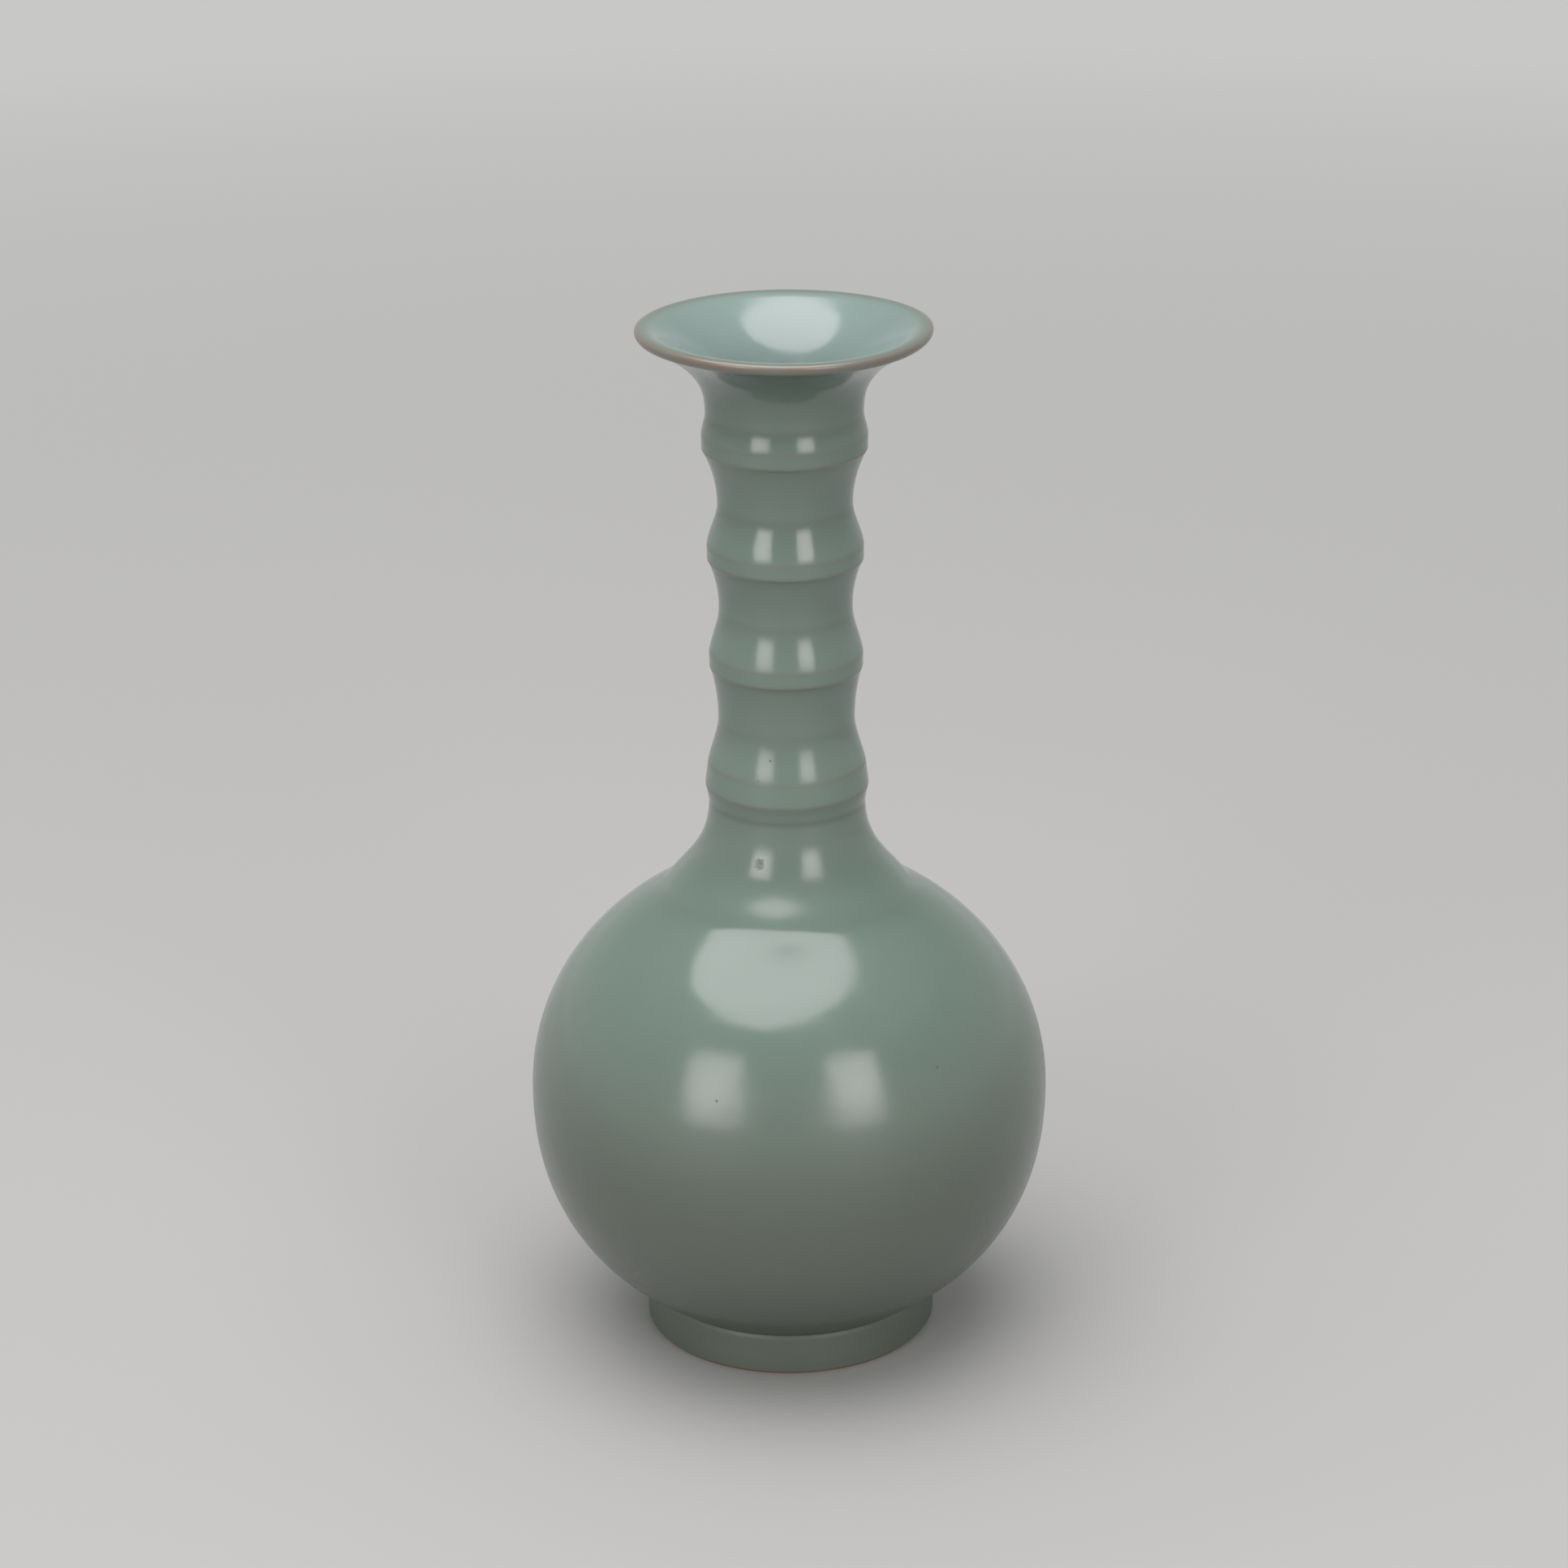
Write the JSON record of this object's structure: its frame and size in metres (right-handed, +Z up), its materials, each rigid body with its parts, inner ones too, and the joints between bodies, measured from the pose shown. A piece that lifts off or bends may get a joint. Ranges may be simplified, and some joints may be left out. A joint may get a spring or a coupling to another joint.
{
  "type": "bamboo-joint vase",
  "caption": "Tall bottle vase with a globular belly, a low foot ring, a long neck of bamboo-like joints and a flaring dish mouth.",
  "frame": {"origin": "centre of the foot rim, on the surface that the vase stands on", "axes": "+Z up along the vase's axis, from the foot to the mouth"},
  "size_m": [0.1392, 0.1392, 0.2807],
  "materials": {
    "clay": "matte",
    "slip": "matte",
    "glaze": "gloss",
    "inner_glaze": "gloss",
    "lip_glaze": "gloss"
  },
  "bodies": {
    "root": {"foot_ring": "clay", "lower_belly": "clay", "upper_belly": "clay", "neck_collar": "clay", "neck_segment_low": "clay", "neck_segment_middle": "clay", "neck_segment_high": "clay", "mouth": "clay", "slip_foot": "slip", "slip_belly": "slip", "slip_shoulder": "slip", "slip_joint_low": "slip", "slip_joint_middle": "slip", "slip_joint_high": "slip", "slip_joint_top": "slip", "outer_glaze": "glaze", "foot_well_glaze": "glaze", "inner_glaze": "inner_glaze", "lip_glaze": "lip_glaze"}
  },
  "joints": []
}
